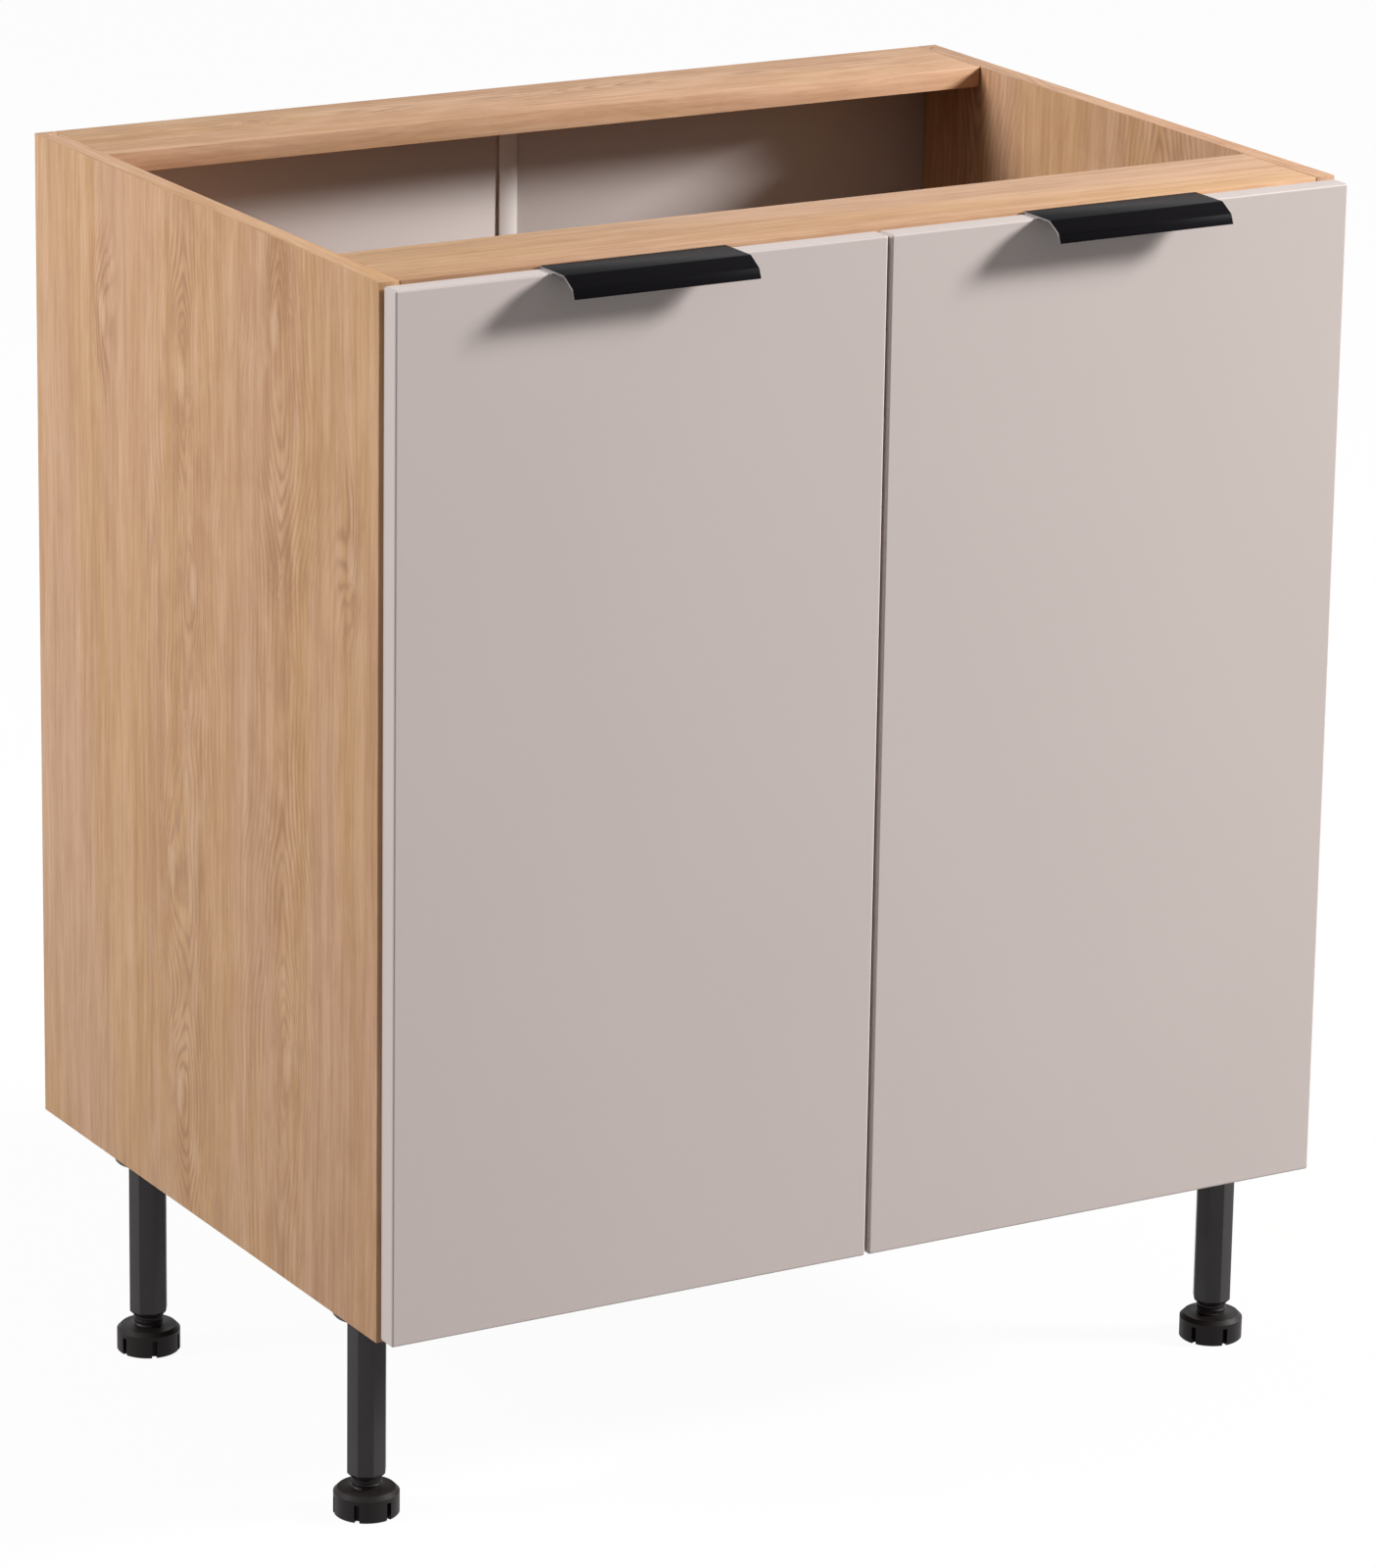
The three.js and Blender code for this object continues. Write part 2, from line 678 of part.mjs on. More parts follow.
// Cross-shaped mounting plate screwed to the side, with the raised block that the arm caps.
function hingePlate(side, z) {
  const faceX = side * innerX;
  const cross = [
    block(
      faceX,
      faceX - side * plateBase,
      plateFront,
      plateFront + plateLength,
      z - plateHalfBase,
      z + plateHalfBase,
    ),
    block(
      faceX,
      faceX - side * plateBase,
      plateMidY - plateWingWidth / 2,
      plateMidY + plateWingWidth / 2,
      z - plateWing,
      z + plateWing,
    ),
    block(
      faceX,
      faceX - side * (plateBase + plateBlock),
      plateFront,
      plateFront + plateLength,
      z - plateHalfHeight,
      z + plateHalfHeight,
    ),
  ];
  let shape = cross.map(solid).reduce((whole, next) => whole.add(next));
  for (const hole of plateScrewHoles(side, z)) {
    shape = shape.subtract(solid(hole));
  }
  return geometryOf(shape);
}

for (const [name, side] of Object.entries(sides)) {
  for (const [place, z] of Object.entries(hingeHeights)) {
    addPiece(`hinge_plate_${name}_${place}`, hingePlate(side, z), nickel);
    addPiece(`hinge_arm_${name}_${place}`, hingeArm(side, z), nickel);
    addPiece(`hinge_cup_${name}_${place}`, hingeCup(side, z), nickel);
    const pin = uprightCylinder(pinRadius, z - pinHalf, z + pinHalf, 16);
    const [pinX, pinY] = toPlan(side, 0, 0);
    addPiece(`hinge_pin_${name}_${place}`, pin, nickel).position.set(pinX, pinY, 0);
    plateScrewPlaces(z).forEach((screwZ, i) => {
      const screw = addPiece(`plate_screw_${name}_${place}_${i + 1}`, plateScrew(side), nickel);
      screw.position.set(side * (innerX - plateBase), plateMidY, screwZ);
    });
  }
}

export default cabinet;
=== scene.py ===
"""A sink base cabinet with an open top: oak-look carcass, white two-part back, a pair of greige lacquered
doors with black pull profiles, cup hinges and four black levelling legs. Metres, +Z up, doors towards -Y."""

import math

import bmesh
import bpy
from mathutils import Matrix, Vector


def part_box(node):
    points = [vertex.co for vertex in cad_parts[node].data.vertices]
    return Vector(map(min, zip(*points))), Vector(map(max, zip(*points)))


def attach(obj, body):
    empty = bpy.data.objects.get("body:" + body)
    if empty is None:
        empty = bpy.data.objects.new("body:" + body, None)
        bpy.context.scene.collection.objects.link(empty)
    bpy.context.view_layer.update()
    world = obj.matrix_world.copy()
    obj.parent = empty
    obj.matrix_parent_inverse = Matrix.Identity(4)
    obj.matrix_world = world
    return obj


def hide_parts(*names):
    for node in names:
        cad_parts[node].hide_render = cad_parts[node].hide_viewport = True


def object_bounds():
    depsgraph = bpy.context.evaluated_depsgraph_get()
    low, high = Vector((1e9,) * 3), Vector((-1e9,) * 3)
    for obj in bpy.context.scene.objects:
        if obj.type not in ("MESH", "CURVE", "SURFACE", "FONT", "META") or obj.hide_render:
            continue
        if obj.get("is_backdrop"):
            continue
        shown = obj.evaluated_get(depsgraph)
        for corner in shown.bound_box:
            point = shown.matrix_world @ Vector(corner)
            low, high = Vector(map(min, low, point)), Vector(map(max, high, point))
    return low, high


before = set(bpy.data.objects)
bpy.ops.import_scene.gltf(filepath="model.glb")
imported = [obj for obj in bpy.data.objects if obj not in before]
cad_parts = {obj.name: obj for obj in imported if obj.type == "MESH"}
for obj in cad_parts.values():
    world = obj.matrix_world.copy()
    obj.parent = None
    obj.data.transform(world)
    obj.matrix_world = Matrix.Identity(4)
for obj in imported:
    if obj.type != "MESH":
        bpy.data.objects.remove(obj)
cad_low, cad_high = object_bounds()

# ---- Camera ----------------------------------------------------------------------------------------
# A long lens some five metres away looks down at the left front corner, from about a metre above the
# cabinet's top.

PICTURE_WIDTH = 1404
PICTURE_HEIGHT = 1600
FOCAL_PIXELS = 7114
SENSOR_WIDTH = 36
LENS_SHIFT = -0.1
CAMERA_PLACE = Vector((-2.569, -4.399, 2.018))
CAMERA_YAW = math.radians(-30.27)
CAMERA_PITCH = math.radians(15.78)
CAMERA_ROLL = math.radians(0.88)

camera_data = bpy.data.cameras.new("camera")
camera_data.sensor_width = SENSOR_WIDTH
camera_data.lens = FOCAL_PIXELS / max(PICTURE_WIDTH, PICTURE_HEIGHT) * SENSOR_WIDTH
camera_data.shift_y = LENS_SHIFT
camera = bpy.data.objects.new("camera", camera_data)
camera.location = CAMERA_PLACE
view = Matrix.Rotation(CAMERA_YAW, 4, "Z") @ Matrix.Rotation(math.pi / 2 - CAMERA_PITCH, 4, "X")
camera.rotation_euler = (view @ Matrix.Rotation(CAMERA_ROLL, 4, "Z")).to_euler()
bpy.context.scene.collection.objects.link(camera)
bpy.context.scene.camera = camera
bpy.context.scene.view_settings.view_transform = "Standard"

# ---- Studio ----------------------------------------------------------------------------------------
# A white floor in a white surround, a key softbox high on the right in front and a fill on the left
# behind. The key throws the shadows of the pulls down to the left over the doors, and the fill lights the
# left side.

FLOOR_HALF = 14.0
FLOOR_WHITE = 0.92
FLOOR_GREY = 0.22
FLOOR_GLOW_SHARE = 0.96
SURROUND_LEVEL = 0.12
LAMP_AIM = Vector((0, 0, 0.5))


class Value:
    """A socket of a node tree. Arithmetic on it adds Math nodes to the same tree."""

    def __init__(self, nodes, socket):
        self.nodes = nodes
        self.socket = socket

    def math(self, operation, *others):
        return self.nodes.math(operation, self, *others)

    def __add__(self, other):
        return self.math("ADD", other)

    def __sub__(self, other):
        return self.math("SUBTRACT", other)

    def __rsub__(self, other):
        return self.nodes.math("SUBTRACT", other, self)

    def __mul__(self, other):
        return self.math("MULTIPLY", other)

    def __truediv__(self, other):
        return self.math("DIVIDE", other)

    def __pow__(self, other):
        return self.math("POWER", other)

    __radd__ = __add__
    __rmul__ = __mul__


class Nodes:
    """A node tree, with one way to add every node."""

    def __init__(self, tree):
        self.tree = tree

    def node(self, kind, settings, inputs, output=0):
        """Adds a node with its settings, feeds its sockets with numbers or values, and gives one output."""
        node = self.tree.nodes.new(kind)
        for setting, value in settings.items():
            setattr(node, setting, value)
        pairs = inputs.items() if isinstance(inputs, dict) else enumerate(inputs)
        for socket, value in pairs:
            self.feed(node.inputs[socket], value)
        return Value(self, node.outputs[output])

    def feed(self, socket, value):
        if isinstance(value, Value):
            self.tree.links.new(value.socket, socket)
        else:
            socket.default_value = value

    def math(self, operation, *terms):
        return self.node("ShaderNodeMath", {"operation": operation}, terms)


class Finish(Nodes):
    """A material being mixed: one shader and the patterns that feed it."""

    def __init__(self, name, **constants):
        self.material = bpy.data.materials.new(name)
        self.material.use_nodes = True
        super().__init__(self.material.node_tree)
        self.shader = self.tree.nodes["Principled BSDF"]
        for socket, value in constants.items():
            self.shader.inputs[socket.replace("_", " ")].default_value = value

    def shade(self, **inputs):
        for socket, value in inputs.items():
            self.feed(self.shader.inputs[socket.replace("_", " ")], value)
        return self.material

    def place(self):
        """The point on the surface, in the cabinet's own metres."""
        return self.node("ShaderNodeTexCoord", {}, [], "Object")

    def axes(self):
        place = self.place()
        split = [self.node("ShaderNodeSeparateXYZ", {}, [place], axis) for axis in "XYZ"]
        return dict(zip("xyz", split))

    def point(self, x, y, z):
        return self.node("ShaderNodeCombineXYZ", {}, [x, y, z])

    def noise(self, vector, scale=1.0, detail=2.0, roughness=0.5, distortion=0.0):
        inputs = {
            "Vector": vector,
            "Scale": scale,
            "Detail": detail,
            "Roughness": roughness,
            "Distortion": distortion,
        }
        return self.node("ShaderNodeTexNoise", {}, inputs)

    def ranged(self, value, low, high, to_low=0.0, to_high=1.0):
        """The value's stretch from low to high, drawn out over another and held at its ends."""
        inputs = {"Value": value, "From Min": low, "From Max": high, "To Min": to_low, "To Max": to_high}
        return self.node("ShaderNodeMapRange", {"clamp": True}, inputs)

    def mix(self, share, first, second):
        return self.node("ShaderNodeMix", {"data_type": "RGBA"}, {0: share, 6: first, 7: second}, 2)

    def stain(self, colour, tint, layer, none, full, most, where=None):
        """Brings in a tint: none of it where the layer is at none, and the most where it is at full."""
        share = self.ranged(layer, none, full, 0.0, most)
        if where is not None:
            share = share * where
        return self.mix(share, colour, tint)

    def bump(self, height, depth, strength):
        return self.node("ShaderNodeBump", {}, {"Strength": strength, "Distance": depth, "Height": height})


def combined(operation, values, *settings):
    """The values taken together, one after another, by an operation such as MAXIMUM."""
    total, *others = values
    for other in others:
        total = total.math(operation, other, *settings)
    return total


def seen_rays(nodes):
    """1 for rays that end in the picture, straight, by a gloss or through glass, and 0 for the rest."""
    kinds = ("Camera", "Glossy", "Transmission")
    rays = [nodes.node("ShaderNodeLightPath", {}, [], f"Is {kind} Ray") for kind in kinds]
    return combined("MAXIMUM", rays)


def grey(level):
    return (level, level, level, 1.0)


def white_floor():
    """Glows white in the picture and lights the cabinet only as a grey floor does. From below it is
    clear, so that the underside can be looked at."""
    finish = Finish("White floor", Roughness=0.8)
    seen = seen_rays(finish)
    finish.shade(Base_Color=finish.mix(seen, grey(FLOOR_GREY), grey(FLOOR_WHITE)))
    shader = Value(finish, finish.shader.outputs[0])
    glow = finish.node("ShaderNodeEmission", {}, {"Color": grey(1.0), "Strength": 1.0})
    above = finish.node("ShaderNodeMixShader", {}, [seen * FLOOR_GLOW_SHARE, shader, glow])
    clear = finish.node("ShaderNodeBsdfTransparent", {}, {})
    from_below = finish.node("ShaderNodeNewGeometry", {}, {}, "Backfacing")
    surface = finish.node("ShaderNodeMixShader", {}, [from_below, above, clear])
    finish.feed(finish.tree.nodes["Material Output"].inputs["Surface"], surface)
    return finish.material


def softbox(name, towards, distance, size, level):
    """A square lamp that gives a white card facing it the stated brightness in the picture."""
    data = bpy.data.lights.new(name, "AREA")
    data.size = size
    data.energy = level * (math.pi * distance) ** 2
    lamp = bpy.data.objects.new(name, data)
    lamp.location = LAMP_AIM + Vector(towards).normalized() * distance
    lamp.rotation_euler = (lamp.location - LAMP_AIM).to_track_quat("Z", "Y").to_euler()
    bpy.context.scene.collection.objects.link(lamp)


floor_mesh = bpy.data.meshes.new("floor")
floor_corners = [(x * FLOOR_HALF, y * FLOOR_HALF, 0) for x, y in ((-1, -1), (1, -1), (1, 1), (-1, 1))]
floor_mesh.from_pydata(floor_corners, [], [(0, 1, 2, 3)])
floor_mesh.materials.append(white_floor())
floor = bpy.data.objects.new("floor", floor_mesh)
bpy.context.scene.collection.objects.link(floor)
floor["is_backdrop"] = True

world = bpy.data.worlds.new("surround")
world.use_nodes = True
bpy.context.scene.world = world
surround = Nodes(world.node_tree)
background = world.node_tree.nodes["Background"]
background.inputs["Color"].default_value = grey(1.0)
surround.feed(background.inputs["Strength"], seen_rays(surround) * (1 - SURROUND_LEVEL) + SURROUND_LEVEL)

softbox("key", towards=(0.78, -0.44, 0.45), distance=6.5, size=1.3, level=1.48)
softbox("fill", towards=(-0.80, 0.22, 0.42), distance=6.5, size=2.2, level=0.74)

# ---- Carcass ---------------------------------------------------------------------------------------
# Chipboard 16 mm thick with a printed oak melamine face, edged with the same print where it shows. The
# sides run the full height, and the bottom and two flat rails stand between them. Cut edges at the rear
# are left raw.

MM = 0.001
BOARD_EASE = 0.5 * MM
JOINT_LINE = 0.5 * MM
JOIN_WITHIN = 0.01 * MM
FLAT_WITHIN = math.radians(0.5)
# A face counts as facing a way when at least this share of its normal points there.
FACING = 0.7


def paint(red, green, blue):
    """A colour from the 0 to 255 numbers of a paint chart, as the linear colour that a shader takes."""

    def linear(part):
        part /= 255
        return part / 12.92 if part <= 0.04045 else ((part + 0.055) / 1.055) ** 2.4

    return (linear(red), linear(green), linear(blue), 1.0)


OAK_ROSY = paint(207, 165, 133)
OAK_STRAW = paint(206, 163, 118)
OAK_PALE = paint(222, 184, 152)
OAK_DARK = paint(170, 126, 95)
OAK_KNOT = paint(168, 124, 90)
OAK_PORE = paint(128, 90, 62)
CHIP_PALE = paint(196, 160, 116)
CHIP_DARK = paint(158, 120, 82)
CHIP_GLUE = paint(112, 84, 58)

RING_WIDTH = 6.4 * MM
GRAIN_DRIFT = 16 * MM
HEART_RIPPLE = 12 * MM
HEART_ROUNDING = 0.00003
HEART_SWELL = 95 * MM
HEART_BLEND = 20 * MM
HEART_SEED_STEP = 9.0
BURL_SEED_STEP = 5.0
BURL_CORE = 10 * MM
BURL_EDGE = 32 * MM
ARCHES_END = 75 * MM
STRAIGHT_GRAIN_SHARE = 0.18
KNOT_WIDTH = 19 * MM
KNOT_LENGTH = 62 * MM
KNOT_BEND = 24 * MM
KNOT_RIPPLE = 30 * MM

# The print runs on round a board's edge: a step through the board moves it on by this share of the step.
# The left side stands at the cabinet's left end, so its places are moved on by that share of the way there.
THROUGH_SHARE = 0.9
LEFT_SIDE_SHIFT = cad_low.x * THROUGH_SHARE
LEFT_HEARTS = (-0.106, 0.05)
LEFT_KNOTS = (
    (-0.095, 0.875),
    (0.056, 0.805),
    (0.037, 0.655),
    (-0.214, 0.731),
    (0.19, 0.831),
    (0.077, 0.428),
    (0.064, 0.249),
    (-0.116, 0.331),
)
RIGHT_HEARTS = (0.30, 0.56)
RIGHT_KNOTS = ((0.31, 0.79), (0.55, 0.62), (0.30, 0.44), (0.56, 0.30))
RAIL_HEARTS = (0.53, 1.12)
EDGE_HEARTS = (0.35, 1.26)


class OakPrint(Finish):
    """Printed oak with its grain along one axis of the cabinet."""

    def __init__(self, name, along, across, through, seed):
        super().__init__(name, Specular_IOR_Level=0.15)
        axes = self.axes()
        self.seed = seed
        self.length = axes[along]
        self.side = axes[across] + axes[through] * THROUGH_SHARE
        drift = self.layer(self.side, across=7.0, along=2.2, step=0)
        self.grain = self.side + (drift - 0.5) * GRAIN_DRIFT
        ripple = self.layer(self.side, across=38.0, along=10.0, step=4, detail=3.0, roughness=0.6)
        self.ripple = ripple - 0.5

    def layer(self, run, across, along, step, detail=2.0, roughness=0.5, distortion=0.0):
        """Noise that changes so often in a metre across the grain and along it. Its step sets it apart."""
        place = self.point(run * across, self.length * along, self.seed + step)
        return self.noise(place, 1.0, detail, roughness, distortion)

    def along_grain(self, rate, step, detail):
        """Noise that changes only along the grain."""
        return self.noise(self.point(self.length * rate, self.seed + step, 0.0), 1.0, detail)

    def hearts(self, places):
        """For each heart: the distance from it swollen into arches, the plain distance, and its burls."""
        arches, reaches, burls = [], [], []
        for i, place in enumerate(places):
            off = self.grain - place + self.ripple * HEART_RIPPLE
            reach = (off * off + HEART_ROUNDING).math("SQRT")
            swell = self.along_grain(3.4, HEART_SEED_STEP * i, 2.0) - 0.5
            burl = self.along_grain(8.0, HEART_SEED_STEP * i + BURL_SEED_STEP, 1.0)
            arches.append(reach + swell * HEART_SWELL)
            reaches.append(reach)
            burls.append(self.ranged(burl, 0.56, 0.68) * self.ranged(reach, BURL_CORE, BURL_EDGE, 1.0, 0.0))
        return arches, reaches, burls

    def knots(self, places):
        """For each knot: how strongly it bends the rings, and the mark that it leaves."""
        bends, marks = [], []
        for across, along in places:
            off = (self.grain - across) / KNOT_WIDTH
            gap = (self.length - along + self.ripple * KNOT_RIPPLE) / KNOT_LENGTH
            spread = off * off + gap * gap
            bends.append((spread * -1.0).math("EXPONENT"))
            marks.append(self.ranged(spread, 0.05, 0.35, 0.8, 0.0))
        return bends, marks

    def rings(self, hearts, knots):
        """The year rings, how much they show, where the wood is knotty, and how near a knot's core is."""
        arches, reaches, marks = self.hearts(hearts)
        run = combined("SMOOTH_MIN", arches, HEART_BLEND)
        figured = self.ranged(combined("MINIMUM", reaches), 0.0, ARCHES_END, 1.0, STRAIGHT_GRAIN_SHARE)
        cores = None
        if knots:
            bends, knot_marks = self.knots(knots)
            for bend in bends:
                run = run - bend * KNOT_BEND
            marks = marks + knot_marks
            cores = combined("MAXIMUM", bends)
            figured = figured.math("MAXIMUM", self.ranged(cores, 0.05, 0.5))
        rings = ((run * (2 * math.pi / RING_WIDTH)).math("SINE") * 0.5 + 0.5) ** 2.0
        return rings, figured, combined("MAXIMUM", marks), cores


def oak_print(name, along, across, through, hearts, seed, knots=()):
    """An oak print. The hearts are where, across the grain, the arches of a flat-sawn board stand. Each
    knot is a place across and along the grain, and the rings bend round it."""
    oak = OakPrint(name, along, across, through, seed)
    rings, figured, knotty, cores = oak.rings(hearts, knots)
    whole = oak.ranged(oak.layer(oak.side, across=24.0, along=9.0, step=8), 0.32, 0.62)
    tone = oak.layer(oak.grain, across=15.0, along=1.6, step=3)
    streak = oak.layer(oak.grain, across=75.0, along=3.4, step=2)
    strand = oak.layer(oak.grain, across=250.0, along=8.0, step=6, detail=3.0, roughness=0.6)
    fibre = oak.layer(oak.grain, across=900.0, along=22.0, step=1, detail=3.0, roughness=0.6)
    mottle = oak.layer(oak.side, across=60.0, along=22.0, step=7, detail=3.0, roughness=0.6)
    swirl = oak.layer(oak.side, across=150.0, along=70.0, step=11, detail=3.0, roughness=0.6, distortion=1.5)
    pore = oak.ranged(oak.layer(oak.grain, across=1500.0, along=45.0, step=5), 0.64, 0.72)
    near_figure = figured * 0.7 + 0.3
    colour = oak.mix(oak.ranged(tone, 0.38, 0.62), OAK_ROSY, OAK_STRAW)
    colour = oak.stain(colour, OAK_PALE, streak, none=0.50, full=0.68, most=0.55)
    colour = oak.stain(colour, OAK_DARK, streak, none=0.50, full=0.34, most=0.28)
    colour = oak.stain(colour, OAK_PALE, strand, none=0.50, full=0.68, most=0.36)
    colour = oak.stain(colour, OAK_DARK, strand, none=0.50, full=0.32, most=0.29)
    colour = oak.mix(rings * figured * (whole * 0.8 + 0.2) * 0.85, colour, OAK_DARK)
    colour = oak.stain(colour, OAK_DARK, mottle, none=0.50, full=0.72, most=0.50, where=near_figure)
    colour = oak.stain(colour, OAK_PALE, mottle, none=0.48, full=0.28, most=0.50, where=near_figure)
    colour = oak.stain(colour, OAK_KNOT, swirl, none=0.36, full=0.62, most=0.50, where=knotty)
    if cores is not None:
        colour = oak.stain(colour, OAK_PALE, cores, none=0.86, full=0.99, most=0.70)
    colour = oak.stain(colour, OAK_DARK, fibre, none=0.40, full=0.70, most=0.30)
    colour = oak.mix(pore * 0.22, colour, OAK_PORE)
    return oak.shade(
        Base_Color=colour,
        Roughness=oak.ranged(fibre, 0.3, 0.7, 0.48, 0.62),
        Normal=oak.bump(fibre * 0.5 - pore * 0.8, depth=0.06 * MM, strength=0.6),
    )


def chipboard():
    """The raw core: pressed chips of pale wood, with darker specks between them."""
    finish = Finish("Raw chipboard", Roughness=0.85)
    place = finish.place()
    cells = {"Vector": place, "Scale": 420.0}
    shades = finish.node("ShaderNodeTexVoronoi", {"feature": "F1"}, cells, "Color")
    chips = finish.node("ShaderNodeSeparateColor", {}, [shades])
    speck = finish.noise(place, scale=900.0, detail=3.0)
    colour = finish.mix(chips, CHIP_PALE, CHIP_DARK)
    colour = finish.stain(colour, CHIP_GLUE, speck, none=0.5, full=0.8, most=0.6)
    return finish.shade(Base_Color=colour, Normal=finish.bump(speck + chips, depth=0.25 * MM, strength=0.7))


def merged_copy(node):
    """A piece's CAD solid as a clean mesh, with its loose triangles joined and its flat faces whole."""
    form = bmesh.new()
    form.from_mesh(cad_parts[node].data)
    bmesh.ops.remove_doubles(form, verts=form.verts, dist=JOIN_WITHIN)
    bmesh.ops.dissolve_limit(form, angle_limit=FLAT_WITHIN, verts=form.verts, edges=form.edges)
    return form


def link_piece(name, form):
    mesh = bpy.data.meshes.new(name)
    form.to_mesh(mesh)
    form.free()
    piece = bpy.data.objects.new(name, mesh)
    bpy.context.scene.collection.objects.link(piece)
    return piece


def settle(piece):
    """Turns what the piece's modifiers make into its own plain mesh."""
    graph = bpy.context.evaluated_depsgraph_get()
    mesh = bpy.data.meshes.new_from_object(piece.evaluated_get(graph))
    piece.modifiers.clear()
    piece.data = mesh


def ease_edges(piece, radius, segments=2, angle=40):
    bevel = piece.modifiers.new("eased edges", "BEVEL")
    bevel.width = radius
    bevel.segments = segments
    bevel.limit_method = "ANGLE"
    bevel.angle_limit = math.radians(angle)
    settle(piece)


def finish_faces(piece, materials, choose=None, smooth=35):
    """Gives each face the material that its direction calls for, and rounds what meets at a low angle."""
    piece.data.materials.clear()
    for material in materials:
        piece.data.materials.append(material)
    for face in piece.data.polygons:
        face.material_index = choose(face.normal, face.center) if choose else 0
    piece.data.shade_smooth()
    piece.data.set_sharp_from_angle(angle=math.radians(smooth))


def carry(piece, body, slot, *nodes):
    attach(piece, body)
    if nodes:
        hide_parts(*nodes)


def dress(node, ending, body, slot, materials, choose=None, smooth=35, form=None, **easing):
    """A CAD solid as a finished piece, made from its own mesh unless another form is given."""
    piece = link_piece(f"{node}_{ending}", merged_copy(node) if form is None else form)
    if easing:
        ease_edges(piece, **easing)
    finish_faces(piece, materials, choose, smooth)
    carry(piece, body, slot, node)


def side_faces(normal, centre):
    """Raw core at the rear, edging on the top and bottom ends, and the oak face elsewhere."""
    if normal.y > FACING:
        return 2
    return 1 if abs(normal.z) > FACING else 0


def rail_faces(normal, centre):
    """Raw core on the rearmost edge, and the oak face elsewhere."""
    return 1 if normal.y > FACING and centre.y > 0 else 0


oak_upright = oak_print(
    "Oak print, upright grain",
    along="z",
    across="y",
    through="x",
    hearts=[heart + LEFT_SIDE_SHIFT for heart in LEFT_HEARTS],
    seed=1.7,
    knots=[(across + LEFT_SIDE_SHIFT, along) for across, along in LEFT_KNOTS],
)
oak_upright_right = oak_print(
    "Oak print, upright grain, right side",
    along="z",
    across="y",
    through="x",
    hearts=RIGHT_HEARTS,
    seed=6.1,
    knots=RIGHT_KNOTS,
)
oak_sideways = oak_print(
    "Oak print, grain along the rails", along="x", across="y", through="z", hearts=RAIL_HEARTS, seed=3.3
)
oak_edge = oak_print(
    "Oak edging, grain front to rear", along="y", across="x", through="z", hearts=EDGE_HEARTS, seed=5.2
)
raw_core = chipboard()

for side, oak in (("left", oak_upright), ("right", oak_upright_right)):
    coats = [oak, oak_edge, raw_core]
    dress(f"side_{side}", "board", "carcass", "oak", coats, side_faces, radius=BOARD_EASE, angle=30)

for name in ("bottom_panel", "front_rail", "rear_rail"):
    form = merged_copy(name)
    # Each board is sawn a hair short, so that its joints with the sides show as fine dark lines.
    for corner in form.verts:
        corner.co.x -= math.copysign(JOINT_LINE, corner.co.x)
    coats = [oak_sideways, raw_core]
    dress(name, "board", "carcass", "oak", coats, rail_faces, form=form, radius=BOARD_EASE, angle=30)

# ---- Back ------------------------------------------------------------------------------------------
# Two sheets of hardboard in grooves, painted white inside and bare brown outside. A white H strip with a
# rounded face joins them at the middle.

SHEET_EASE = 0.25 * MM
STRIP_EASE = 0.3 * MM
SHEET_WHITE = paint(195, 184, 179)
SHEET_SHADE = paint(190, 179, 174)
FIBRE_LIGHT = paint(150, 112, 78)
FIBRE_DEEP = paint(132, 97, 67)
FIBRE_FLECK = paint(92, 64, 44)
STRIP_WHITE = paint(214, 206, 202)
STRIP_SHADE = paint(206, 198, 194)


def painted_hardboard():
    """White paint rolled on hardboard, faintly pebbled."""
    finish = Finish("White painted hardboard", Roughness=0.42)
    place = finish.place()
    mottle = finish.noise(place, scale=9.0)
    pebble = finish.noise(place, scale=950.0)
    colour = finish.mix(mottle, SHEET_WHITE, SHEET_SHADE)
    return finish.shade(Base_Color=colour, Normal=finish.bump(pebble, depth=0.03 * MM, strength=0.5))


def bare_hardboard():
    """Pressed brown fibre with darker flecks."""
    finish = Finish("Bare hardboard", Roughness=0.75)
    place = finish.place()
    fleck = finish.noise(place, scale=260.0, detail=5.0, roughness=0.7)
    cloud = finish.noise(place, scale=12.0, detail=3.0)
    colour = finish.mix(cloud, FIBRE_LIGHT, FIBRE_DEEP)
    colour = finish.stain(colour, FIBRE_FLECK, fleck, none=0.5, full=0.75, most=0.7)
    return finish.shade(Base_Color=colour, Normal=finish.bump(fleck, depth=0.12 * MM, strength=0.6))


def white_plastic():
    """Smooth white plastic with the faint upright lines of its extrusion."""
    finish = Finish("White extruded strip", Roughness=0.32)
    axes = finish.axes()
    lines = finish.noise(finish.point(axes["x"] * 900.0, 0.0, axes["z"] * 6.0))
    colour = finish.mix(lines, STRIP_WHITE, STRIP_SHADE)
    return finish.shade(Base_Color=colour, Normal=finish.bump(lines, depth=0.02 * MM, strength=0.5))


def sheet_faces(normal, centre):
    """White paint on the side towards the doors, and bare fibre elsewhere."""
    return 0 if normal.y < -FACING else 1


hardboard = [painted_hardboard(), bare_hardboard()]
for side in ("left", "right"):
    node = f"back_sheet_{side}"
    dress(node, "board", "carcass", "hardboard", hardboard, sheet_faces, radius=SHEET_EASE, angle=30)

dress("back_joiner", "strip", "carcass", "joiner", [white_plastic()], smooth=30, radius=STRIP_EASE)

# ---- Legs ------------------------------------------------------------------------------------------
# Black moulded plastic: a round flange screwed under the bottom panel, an eight-sided column pushed into
# it, and a disc foot with finger notches that turns on a coarse thread to level the cabinet.

